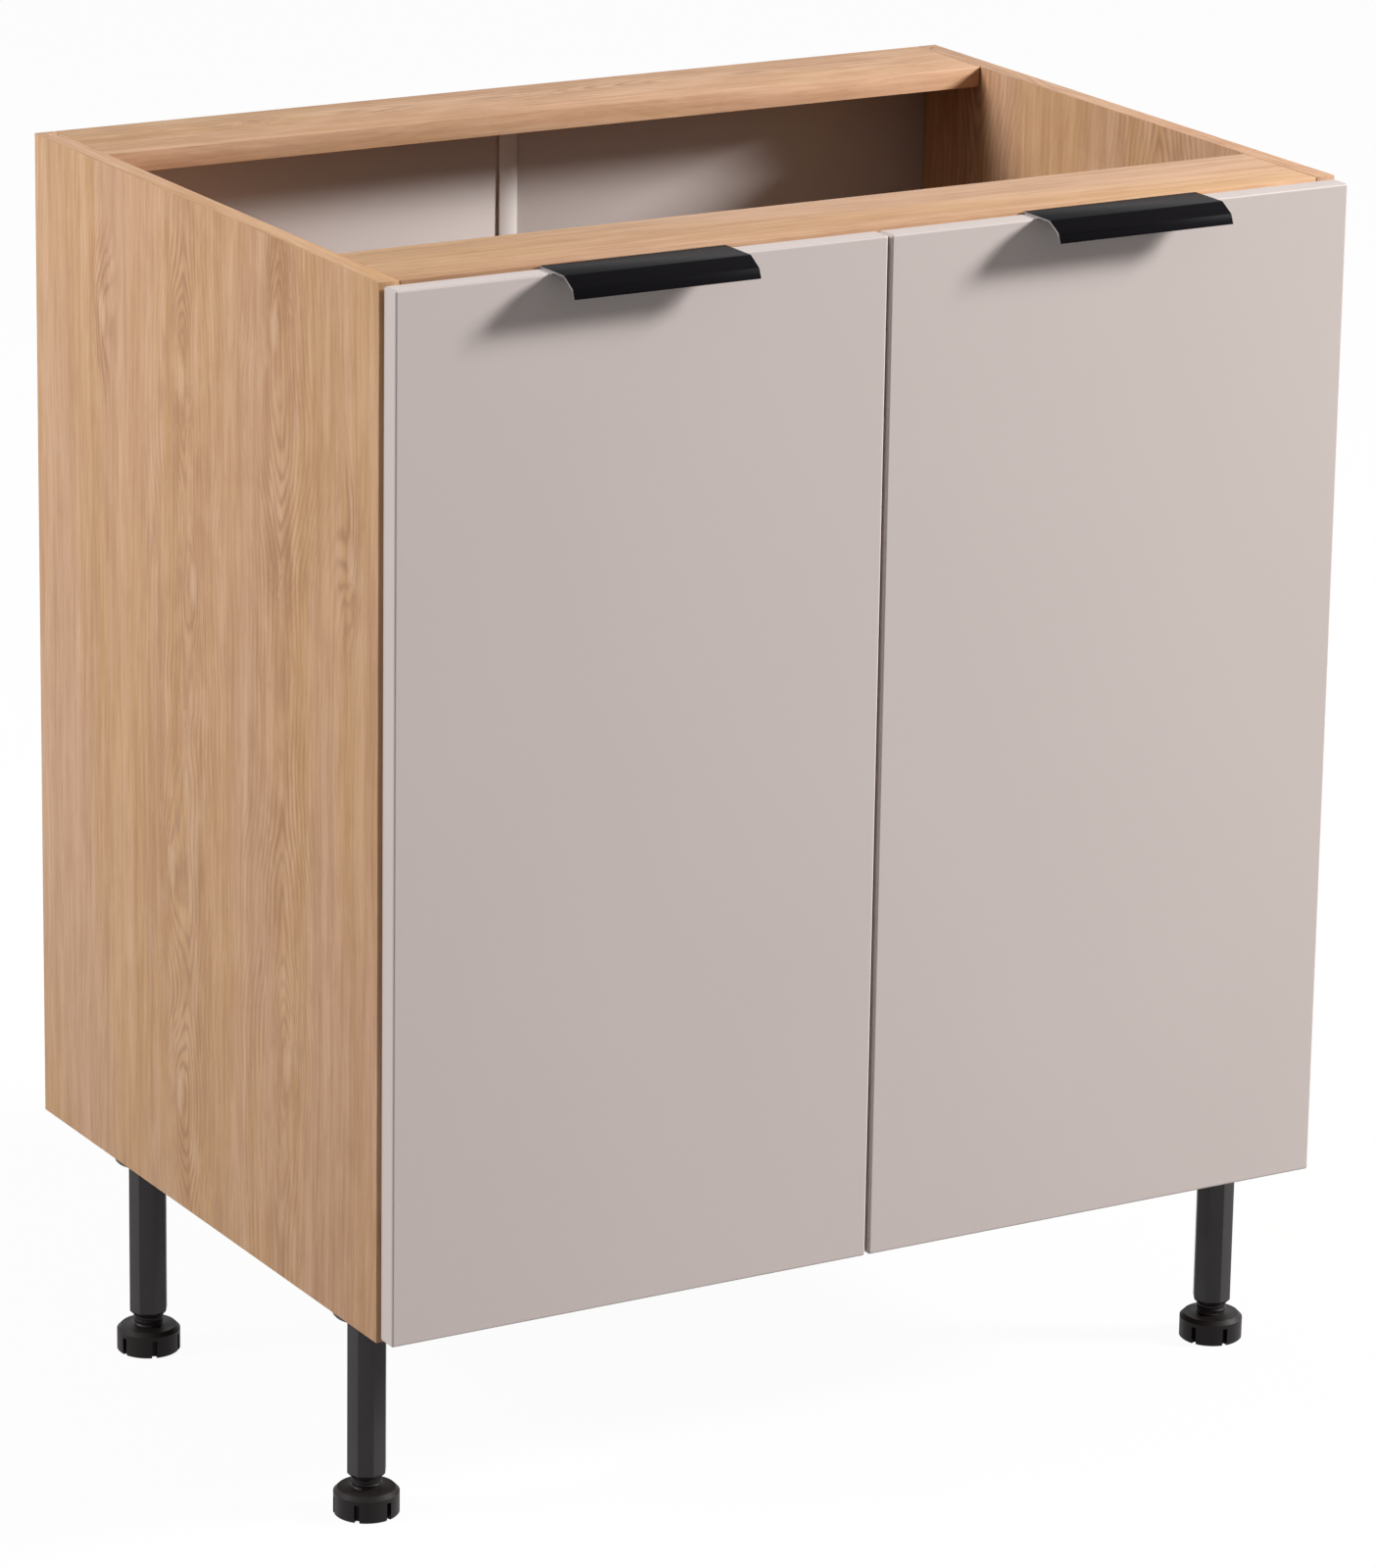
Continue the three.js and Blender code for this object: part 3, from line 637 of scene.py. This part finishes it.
FLANGE_EASE = 0.4 * MM
COLUMN_EASE = 0.8 * MM
FLANGE_SCREWS = 4
FLANGE_SCREW_CIRCLE = 19.5 * MM
FLANGE_SCREW_TURN = math.radians(-97.5)
SCREW_HEAD_RADIUS = 3.3 * MM
SCREW_HEAD_RISE = 1.8 * MM
SCREW_HEAD_SIDES = 24
SCREW_TOP_SHARE = 0.65
SCREW_SLOT_SHARE = 0.24
THREAD_RADIUS = 11.7 * MM
THREAD_DEPTH = 1.3 * MM
THREAD_PITCH = 3.2 * MM
THREAD_BOTTOM = 21 * MM
THREAD_TOP = 42 * MM
THREAD_STEPS = 48
THREAD_SECTION_SIDES = 6
FOOT_RADIUS = 24.5 * MM
FOOT_HEIGHT = 20 * MM
FOOT_CHAMFER = 3 * MM
FOOT_EASE = 1 * MM
FOOT_SEGMENTS = 96
COLLAR_WIDTH = 1.5 * MM
COLLAR_RISE = 1 * MM
NOTCH_WIDTH = 4 * MM
NOTCH_DEPTH = 5 * MM
NOTCH_HEIGHT = 14 * MM
NOTCHES = 6
SEAM_WITHIN = 0.001 * MM
FOOT_TURNS = {"front_left": -134.5, "front_right": -96.5, "rear_left": -105, "rear_right": -110}

LEG_BLACK = paint(38, 34, 35)
LEG_FADED = paint(46, 42, 43)
FOOT_BLACK = paint(24, 20, 20)
FOOT_FADED = paint(32, 27, 27)
SCUFF_GREY = paint(92, 88, 88)
NICKEL_BRIGHT = paint(206, 205, 202)
NICKEL_DULL = paint(178, 177, 175)


def black_plastic(name, black, faded, gloss):
    """Moulded black plastic with a fine spark-eroded texture and slight scuffs."""
    finish = Finish(name, Specular_IOR_Level=gloss)
    place = finish.place()
    erosion = finish.noise(place, scale=1500.0, roughness=0.6)
    cloud = finish.noise(place, scale=45.0, detail=3.0)
    scuff = finish.noise(place, scale=210.0, detail=4.0, roughness=0.7, distortion=1.5)
    colour = finish.mix(cloud, black, faded)
    colour = finish.stain(colour, SCUFF_GREY, scuff, none=0.62, full=0.8, most=0.25)
    return finish.shade(
        Base_Color=colour,
        Roughness=finish.ranged(cloud, 0.3, 0.7, 0.42, 0.55),
        Normal=finish.bump(erosion, depth=0.04 * MM, strength=0.6),
    )


def plated_steel():
    """Nickel plate with faint rolling lines."""
    finish = Finish("Nickel plated steel", Metallic=1.0)
    axes = finish.axes()
    rolled = finish.noise(finish.point(axes["x"] * 700.0, axes["y"] * 40.0, axes["z"] * 700.0), detail=3.0)
    return finish.shade(
        Base_Color=finish.mix(rolled, NICKEL_BRIGHT, NICKEL_DULL),
        Roughness=finish.ranged(rolled, 0.3, 0.7, 0.22, 0.36),
        Normal=finish.bump(rolled, depth=0.01 * MM, strength=0.4),
    )


def turned_form(profile, segments):
    """A profile of (radius, height) points turned once round the upright axis."""
    form = bmesh.new()
    points = [form.verts.new((radius, 0, height)) for radius, height in profile]
    edges = [form.edges.new(pair) for pair in zip(points, points[1:])]
    bmesh.ops.spin(
        form, geom=points + edges, axis=(0, 0, 1), cent=(0, 0, 0), angle=2 * math.pi, steps=segments
    )
    bmesh.ops.remove_doubles(form, verts=form.verts, dist=SEAM_WITHIN)
    bmesh.ops.recalc_face_normals(form, faces=form.faces)
    return form


def cut_away(piece, cutter):
    """Takes the cutter out of the piece and throws the cutter away."""
    cut = piece.modifiers.new("cut", "BOOLEAN")
    cut.operation = "DIFFERENCE"
    cut.solver = "EXACT"
    cut.object = cutter
    settle(piece)
    bpy.data.objects.remove(cutter)


def start_tree(name, **sizes):
    """A Geometry Nodes tree whose named inputs are its sizes and the material of what it makes."""
    tree = bpy.data.node_groups.new(name, "GeometryNodeTree")
    for label, value in sizes.items():
        kind = "NodeSocketInt" if isinstance(value, int) else "NodeSocketFloat"
        tree.interface.new_socket(label, in_out="INPUT", socket_type=kind).default_value = value
    tree.interface.new_socket("Finish", in_out="INPUT", socket_type="NodeSocketMaterial")
    tree.interface.new_socket("Geometry", in_out="OUTPUT", socket_type="NodeSocketGeometry")
    nodes = Nodes(tree)
    group = tree.nodes.new("NodeGroupInput")
    return nodes, {socket.name: Value(nodes, socket) for socket in group.outputs if socket.name}


def end_tree(nodes, given, form):
    real = nodes.node("GeometryNodeRealizeInstances", {}, [form])
    coated = nodes.node("GeometryNodeSetMaterial", {}, {"Geometry": real, "Material": given["Finish"]})
    nodes.feed(nodes.tree.nodes.new("NodeGroupOutput").inputs[0], coated)
    return nodes.tree


def thread_tree():
    """A thread: a coil of the given radius, pitch and height, swept by a small section."""
    height = THREAD_TOP - THREAD_BOTTOM
    sizes = {"Radius": THREAD_RADIUS, "Pitch": THREAD_PITCH, "Height": height, "Depth": THREAD_DEPTH}
    nodes, given = start_tree("Levelling thread", **sizes)
    root = given["Radius"] - given["Depth"]
    spiral = {
        "Resolution": THREAD_STEPS,
        "Rotations": given["Height"] / given["Pitch"],
        "Start Radius": root,
        "End Radius": root,
        "Height": given["Height"],
    }
    coil = nodes.node("GeometryNodeCurveSpiral", {}, spiral)
    circle = {"Resolution": THREAD_SECTION_SIDES, "Radius": given["Depth"]}
    section = nodes.node("GeometryNodeCurvePrimitiveCircle", {}, circle)
    sweep = {"Curve": coil, "Profile Curve": section, "Fill Caps": True}
    return end_tree(nodes, given, nodes.node("GeometryNodeCurveToMesh", {}, sweep))


def screws_tree():
    """Heads of cross-slotted screws on a circle, standing up from the plane that they hold down."""
    sizes = {
        "Count": FLANGE_SCREWS,
        "Circle": FLANGE_SCREW_CIRCLE,
        "Head": SCREW_HEAD_RADIUS,
        "Rise": SCREW_HEAD_RISE,
    }
    nodes, given = start_tree("Ring of screws", **sizes)
    head_radius, rise = given["Head"], given["Rise"]
    turn = nodes.node("GeometryNodeInputIndex", {}, {}) * (2 * math.pi) / given["Count"]
    across = turn.math("COSINE") * given["Circle"]
    along = turn.math("SINE") * given["Circle"]
    place = nodes.node("ShaderNodeCombineXYZ", {}, [across, along, 0.0])
    points = nodes.node("GeometryNodePoints", {}, {"Count": given["Count"], "Position": place})
    cone = {
        "Vertices": SCREW_HEAD_SIDES,
        "Radius Top": head_radius * SCREW_TOP_SHARE,
        "Radius Bottom": head_radius,
        "Depth": rise,
    }
    head = nodes.node("GeometryNodeMeshCone", {}, cone)
    slot_size = nodes.node("ShaderNodeCombineXYZ", {}, [head_radius, head_radius * SCREW_SLOT_SHARE, rise])
    slot = nodes.node("GeometryNodeMeshCube", {}, {"Size": slot_size})
    top = nodes.node("ShaderNodeCombineXYZ", {}, [0.0, 0.0, rise])
    for quarter in (0, math.pi / 2):
        placed = {"Geometry": slot, "Translation": top, "Rotation": (0, 0, quarter)}
        cutter = nodes.node("GeometryNodeTransform", {}, placed)
        cut = {"Mesh 1": head, "Mesh 2": cutter}
        head = nodes.node("GeometryNodeMeshBoolean", {"operation": "DIFFERENCE", "solver": "EXACT"}, cut)
    heads = nodes.node("GeometryNodeInstanceOnPoints", {}, {"Points": points, "Instance": head})
    return end_tree(nodes, given, heads)


def grow(name, tree, **inputs):
    """An object whose mesh the node tree makes, from its own sizes where the inputs name no others."""
    piece = bpy.data.objects.new(name, bpy.data.meshes.new(name))
    bpy.context.scene.collection.objects.link(piece)
    maker = piece.modifiers.new(name, "NODES")
    maker.node_group = tree
    for item in tree.interface.items_tree:
        if item.in_out == "INPUT" and item.name in inputs:
            maker[item.identifier] = inputs[item.name]
    settle(piece)
    return piece


def levelling_foot(name, top):
    """The disc foot on its stem, with the finger notches cut out of its rim."""
    stem_radius = THREAD_RADIUS - THREAD_DEPTH
    profile = [
        (0, 0),
        (FOOT_RADIUS - FOOT_EASE, 0),
        (FOOT_RADIUS, FOOT_EASE),
        (FOOT_RADIUS, FOOT_HEIGHT - FOOT_CHAMFER),
        (FOOT_RADIUS - FOOT_CHAMFER, FOOT_HEIGHT),
        (THREAD_RADIUS + COLLAR_WIDTH, FOOT_HEIGHT),
        (stem_radius, FOOT_HEIGHT + COLLAR_RISE),
        (stem_radius, top),
        (0, top),
    ]
    foot = link_piece(name, turned_form(profile, FOOT_SEGMENTS))
    for i in range(NOTCHES):
        turn = Matrix.Rotation(2 * math.pi * i / NOTCHES, 3, "Z")
        notch = bmesh.new()
        bmesh.ops.create_cube(notch, size=1)
        bmesh.ops.scale(notch, vec=(2 * NOTCH_DEPTH, NOTCH_WIDTH, 2 * NOTCH_HEIGHT), verts=notch.verts)
        bmesh.ops.translate(notch, vec=(FOOT_RADIUS, 0, 0), verts=notch.verts)
        bmesh.ops.rotate(notch, matrix=turn, verts=notch.verts)
        cut_away(foot, link_piece("notch", notch))
    return foot


leg_plastic = black_plastic("Black moulded plastic", LEG_BLACK, LEG_FADED, gloss=0.35)
foot_plastic = black_plastic("Black moulded plastic, foot", FOOT_BLACK, FOOT_FADED, gloss=0.18)
steel = plated_steel()
thread = thread_tree()
screw_ring = screws_tree()
stem_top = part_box("leg_foot_front_left")[1].z

for corner, foot_turn in FOOT_TURNS.items():
    low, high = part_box(f"leg_column_{corner}")
    middle = Vector(((low.x + high.x) / 2, (low.y + high.y) / 2, 0))
    plastic = [leg_plastic]

    flange = f"leg_flange_{corner}"
    dress(flange, "moulding", "carcass", "legs", plastic, smooth=30, radius=FLANGE_EASE)
    screws = grow(f"leg_screws_{corner}", screw_ring, Finish=steel)
    flange_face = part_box(f"leg_flange_{corner}")[0].z
    hang = Matrix.Translation((middle.x, middle.y, flange_face)) @ Matrix.Rotation(FLANGE_SCREW_TURN, 4, "Z")
    screws.data.transform(hang @ Matrix.Rotation(math.pi, 4, "X"))
    finish_faces(screws, [steel], smooth=30)
    carry(screws, "carcass", "screws")

    column = f"leg_column_{corner}"
    dress(column, "moulding", "carcass", "legs", plastic, smooth=30, radius=COLUMN_EASE, segments=3)

    node = f"leg_foot_{corner}"
    foot = levelling_foot(f"{node}_moulding", stem_top)
    coil = grow(f"leg_thread_{corner}", thread, Finish=foot_plastic)
    coil.data.transform(Matrix.Translation((0, 0, THREAD_BOTTOM)))
    spin = Matrix.Translation(middle) @ Matrix.Rotation(math.radians(foot_turn), 4, "Z")
    for piece in (foot, coil):
        piece.data.transform(spin)
        finish_faces(piece, [foot_plastic], smooth=40)
    carry(foot, f"foot_{corner}", "legs", node)
    carry(coil, f"foot_{corner}", "legs")

# ---- Doors -----------------------------------------------------------------------------------------
# Slabs of fibreboard 18 mm thick, lacquered satin greige on every face, with softly rounded edges. The
# back of each is bored for two hinge cups.

DOOR_ROUND = 1.8 * MM
CUP_RADIUS = 17.2 * MM
CUP_CLEARANCE = 0.3 * MM
BORE_LENGTH = 20 * MM
BORE_SEGMENTS = 64
GREIGE = paint(207, 194, 189)
GREIGE_DEEP = paint(203, 190, 185)


def greige_lacquer():
    """Satin lacquer, very slightly uneven, as sprayed paint dries."""
    finish = Finish("Satin greige lacquer", Coat_Weight=0.12, Coat_Roughness=0.35)
    place = finish.place()
    cloud = finish.noise(place, scale=5.0)
    peel = finish.noise(place, scale=420.0)
    return finish.shade(
        Base_Color=finish.mix(cloud, GREIGE, GREIGE_DEEP),
        Roughness=finish.ranged(cloud, 0.3, 0.7, 0.40, 0.46),
        Normal=finish.bump(peel, depth=0.02 * MM, strength=0.35),
    )


def cup_place(side, height):
    """Where a hinge cup stands in its door: its middle across and up, its floor and its rim."""
    cup_low, cup_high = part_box(f"hinge_cup_{side}_{height}")
    across = cup_low.x + CUP_RADIUS if side == "left" else cup_high.x - CUP_RADIUS
    return across, (cup_low.z + cup_high.z) / 2, cup_low.y, cup_high.y


def cup_bore(side, height):
    """What the drill takes out for a cup: from just under its floor to well past the back of the door."""
    across, up, cup_floor, _ = cup_place(side, height)
    radius = CUP_RADIUS + CUP_CLEARANCE
    bore = turned_form([(0, -BORE_LENGTH), (radius, -BORE_LENGTH), (radius, 0), (0, 0)], BORE_SEGMENTS)
    start = Matrix.Translation((across, cup_floor - CUP_CLEARANCE, up))
    bmesh.ops.transform(bore, matrix=start @ Matrix.Rotation(math.pi / 2, 4, "X"), verts=bore.verts)
    return link_piece("bore", bore)


lacquer = greige_lacquer()
for side in ("left", "right"):
    low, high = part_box(f"door_{side}")
    slab = bmesh.new()
    bmesh.ops.create_cube(slab, size=1)
    bmesh.ops.scale(slab, vec=high - low, verts=slab.verts)
    bmesh.ops.translate(slab, vec=(low + high) / 2, verts=slab.verts)
    door = link_piece(f"door_{side}_slab", slab)
    ease_edges(door, DOOR_ROUND, segments=5, angle=30)
    for height in ("bottom", "top"):
        cut_away(door, cup_bore(side, height))
    finish_faces(door, [lacquer], smooth=40)
    weighted = door.modifiers.new("even shading", "WEIGHTED_NORMAL")
    weighted.keep_sharp = True
    settle(door)
    carry(door, f"door_{side}", "lacquer", f"door_{side}")

# ---- Pulls -----------------------------------------------------------------------------------------
# A bent aluminium section, black anodised, hung over the door's top edge and screwed to its back. It was
# cut to length after anodising, so its ends are bare metal.

PULL_EASE = 0.3 * MM
# Only the sawn ends face this squarely along the pull, and their eased edges don't.
SQUARELY = 0.9
ANODISED_BLACK = paint(18, 17, 19)
ANODISED_WORN = paint(27, 25, 28)
SAWN_BRIGHT = paint(196, 196, 198)
SAWN_DULL = paint(160, 160, 163)


def black_anodised():
    """Black oxide on aluminium that was brushed along its length."""
    finish = Finish("Black anodised aluminium", Specular_IOR_Level=0.005)
    axes = finish.axes()
    brush = finish.noise(finish.point(axes["x"] * 9.0, axes["y"] * 1400.0, axes["z"] * 1400.0), detail=3.0)
    return finish.shade(
        Base_Color=finish.mix(brush, ANODISED_BLACK, ANODISED_WORN),
        Roughness=finish.ranged(brush, 0.3, 0.7, 0.24, 0.34),
        Normal=finish.bump(brush, depth=0.01 * MM, strength=0.4),
    )


def sawn_aluminium():
    finish = Finish("Sawn aluminium", Metallic=1.0)
    saw = finish.noise(finish.place(), scale=2600.0)
    colour = finish.mix(saw, SAWN_BRIGHT, SAWN_DULL)
    return finish.shade(Base_Color=colour, Roughness=finish.ranged(saw, 0.3, 0.7, 0.35, 0.5))


def pull_faces(normal, centre):
    """Bare metal where the section was sawn off, and black elsewhere."""
    return 1 if abs(normal.x) > SQUARELY else 0


aluminium = [black_anodised(), sawn_aluminium()]
for side in ("left", "right"):
    door_body = f"door_{side}"
    pull = f"pull_{side}"
    dress(pull, "section", door_body, "pull", aluminium, pull_faces, smooth=30, radius=PULL_EASE, angle=20)
    for number in (1, 2):
        dress(f"pull_screw_{side}_{number}", "head", door_body, "screws", [steel], smooth=40)

# ---- Hinges ----------------------------------------------------------------------------------------
# Pressed steel, nickel plated: a cup let into the door and held by two screws, an arm with a gooseneck,
# and a cross-shaped plate screwed to the side.

PRESSED_EASE = 0.3 * MM
WING_SCREWS = 2
WING_SCREW_REACH = 21.5 * MM
WING_MIDDLE = 9.5 * MM

for side in ("left", "right"):
    door_body = f"door_{side}"
    inward = 1 if side == "left" else -1
    for height in ("bottom", "top"):
        for part in ("plate", "arm"):
            node = f"hinge_{part}_{side}_{height}"
            dress(node, "steel", "carcass", "hinges", [steel], radius=PRESSED_EASE)
        for part in ("cup", "pin"):
            dress(f"hinge_{part}_{side}_{height}", "steel", door_body, "hinges", [steel])
        for number in (1, 2):
            dress(f"plate_screw_{side}_{height}_{number}", "head", "carcass", "screws", [steel], smooth=40)
        screws = grow(
            f"cup_screws_{side}_{height}",
            screw_ring,
            Count=WING_SCREWS,
            Circle=WING_SCREW_REACH,
            Finish=steel,
        )
        across, up, _, rim = cup_place(side, height)
        wings = Matrix.Translation((across + inward * WING_MIDDLE, rim, up))
        upright = Matrix.Rotation(-math.pi / 2, 4, "X") @ Matrix.Rotation(math.pi / 2, 4, "Z")
        screws.data.transform(wings @ upright)
        finish_faces(screws, [steel], smooth=30)
        carry(screws, door_body, "screws")

# ---- Door stops ------------------------------------------------------------------------------------
# Small discs of clear soft plastic, stuck near the free edge of each door to quieten it where it meets
# the carcass.

STOP_EASE = 0.7 * MM
STOP_CLEAR = paint(226, 226, 221)
STOP_CLOUDY = paint(214, 214, 208)


def clear_rubber():
    finish = Finish("Clear soft plastic", Roughness=0.3, Subsurface_Weight=0.2)
    cloud = finish.noise(finish.place(), scale=300.0)
    return finish.shade(Base_Color=finish.mix(cloud, STOP_CLEAR, STOP_CLOUDY))


soft = [clear_rubber()]
for side in ("left", "right"):
    for height in ("bottom", "top"):
        node = f"bumper_{side}_{height}"
        dress(node, "disc", f"door_{side}", "bumpers", soft, radius=STOP_EASE, segments=3)

bpy.context.view_layer.update()
low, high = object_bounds()
